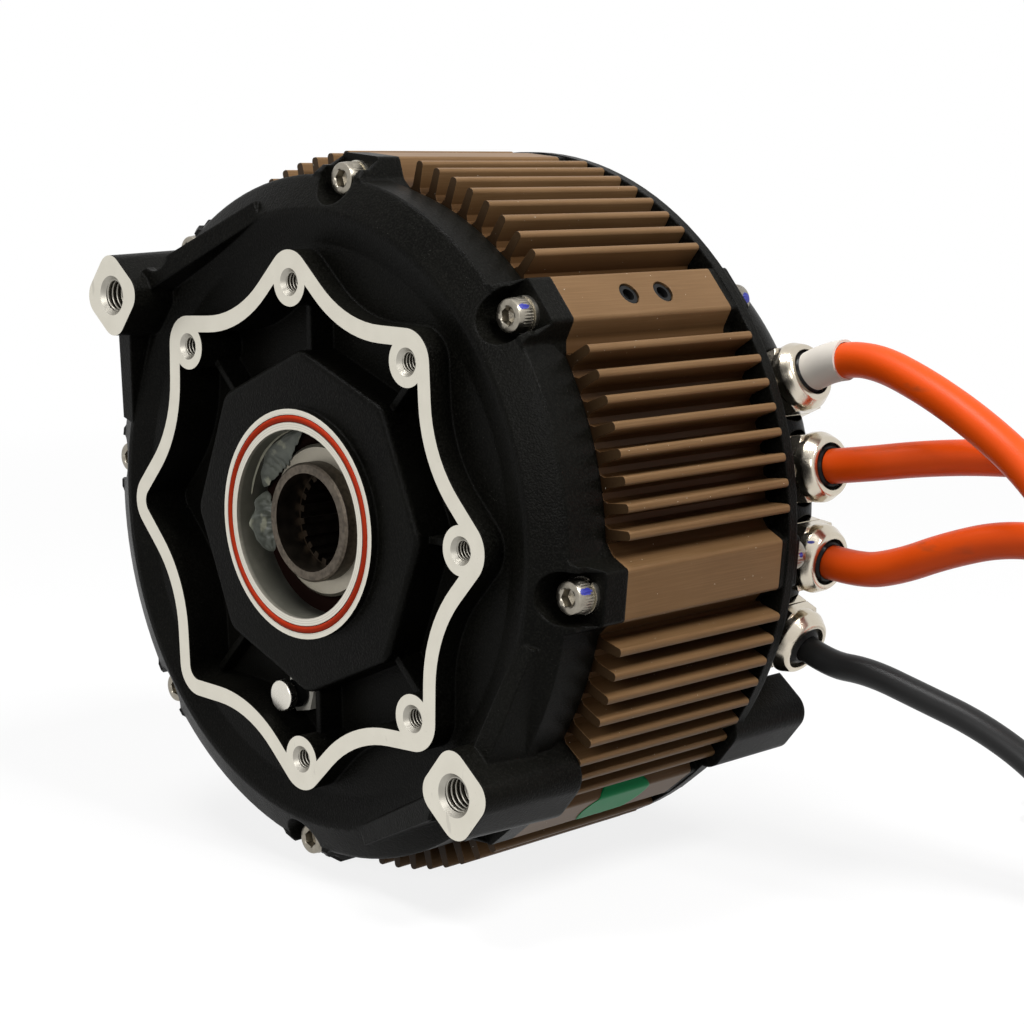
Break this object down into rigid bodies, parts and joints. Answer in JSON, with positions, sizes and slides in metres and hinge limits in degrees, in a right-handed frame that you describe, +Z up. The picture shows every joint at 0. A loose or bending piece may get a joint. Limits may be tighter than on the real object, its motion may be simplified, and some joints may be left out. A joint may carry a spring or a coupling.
{
  "type": "electric dirt bike motor",
  "caption": "Electric motor for a dirt bike: finned bronze housing between black cast covers, star-shaped gearbox flange with a splined hollow shaft, mounting bosses and cables in glands.",
  "frame": {"origin": "centre of the star-shaped gearbox flange, on its machined face and on the motor's axis", "axes": "+Y from the flange through the motor to the rear cover, +Z up, +X to the side where the cables come out"},
  "size_m": [0.3062, 0.2264, 0.1906],
  "materials": {
    "black_coat": "satin black powder coat over cast aluminium, machined bright where pieces seat",
    "bronze_anodised": "satin bronze anodised extrusion",
    "screw_steel": "knurled, lightly polished",
    "red_rubber": "smooth silicone",
    "brown_rubber": "smooth",
    "black_rubber": "smooth",
    "bright_aluminium": "turned",
    "shaft_steel": "hardened and ground",
    "bearing_steel": "ground",
    "lamination_steel": "stacked sheet",
    "magnet": "nickel plated",
    "winding": "enamelled copper wire in resin",
    "circuit_board": "printed circuit board",
    "nickel": "bright nickel plate",
    "orange_sheath": "satin silicone sheath",
    "black_sheath": "satin sheath",
    "white_sleeve": "heat-shrink sleeve",
    "tinned_copper": "tin plate",
    "connector_plastic": "moulded"
  },
  "bodies": {
    "stator": {"front_cover": "black_coat", "rear_cover": "black_coat", "finned_housing": "bronze_anodised", "front_cover_screws": "screw_steel", "front_lock_washers": "screw_steel", "rear_cover_screws": "screw_steel", "rear_lock_washers": "screw_steel", "land_plugs": "black_rubber", "vent_plug_seal": "black_rubber", "gland_seal_1": "black_rubber", "gland_seal_2": "black_rubber", "gland_seal_3": "black_rubber", "gland_seal_4": "black_rubber", "face_o_ring": "red_rubber", "vent_plug_body": "bright_aluminium", "vent_plug_cap": "bright_aluminium", "front_bearing_outer_race": "bearing_steel", "rear_bearing_outer_race": "bearing_steel", "shaft_seal": "brown_rubber", "stator_core": "lamination_steel", "stator_windings": "winding", "sensor_board": "circuit_board", "gland_body_1": "nickel", "gland_nut_1": "nickel", "gland_body_2": "nickel", "gland_nut_2": "nickel", "gland_body_3": "nickel", "gland_nut_3": "nickel", "gland_body_4": "nickel", "gland_nut_4": "nickel", "phase_cable_1": "orange_sheath", "cable_lug_1": "tinned_copper", "phase_cable_2": "orange_sheath", "cable_lug_2": "tinned_copper", "phase_cable_3": "orange_sheath", "cable_lug_3": "tinned_copper", "signal_cable": "black_sheath", "signal_connector": "connector_plastic", "cable_sleeve": "white_sleeve"},
    "rotor": {"rotor_shaft": "shaft_steel", "seal_sleeve": "bearing_steel", "front_bearing_inner_race": "bearing_steel", "rear_bearing_inner_race": "bearing_steel", "rotor_core": "lamination_steel", "rotor_magnets": "magnet", "rotor_retaining_ring": "shaft_steel", "sensor_magnet": "magnet"},
    "front_ball_cage": {"front_bearing_balls": "bearing_steel"},
    "rear_ball_cage": {"rear_bearing_balls": "bearing_steel"}
  },
  "joints": [
    {"name": "rotor_spin", "type": "hinge", "parent": "stator", "child": "rotor", "pos_m": [0, 0.05, 0], "axis": [0, 1, 0], "continuous": true},
    {"name": "front_cage_spin", "type": "hinge", "parent": "stator", "child": "front_ball_cage", "pos_m": [0, 0.0245, 0], "axis": [0, 1, 0], "continuous": true},
    {"name": "rear_cage_spin", "type": "hinge", "parent": "stator", "child": "rear_ball_cage", "pos_m": [0, 0.1065, 0], "axis": [0, 1, 0], "continuous": true}
  ],
  "couplings": [
    {"joint": "front_cage_spin", "follows": "rotor_spin", "ratio": 0.4109},
    {"joint": "rear_cage_spin", "follows": "rotor_spin", "ratio": 0.4059}
  ]
}
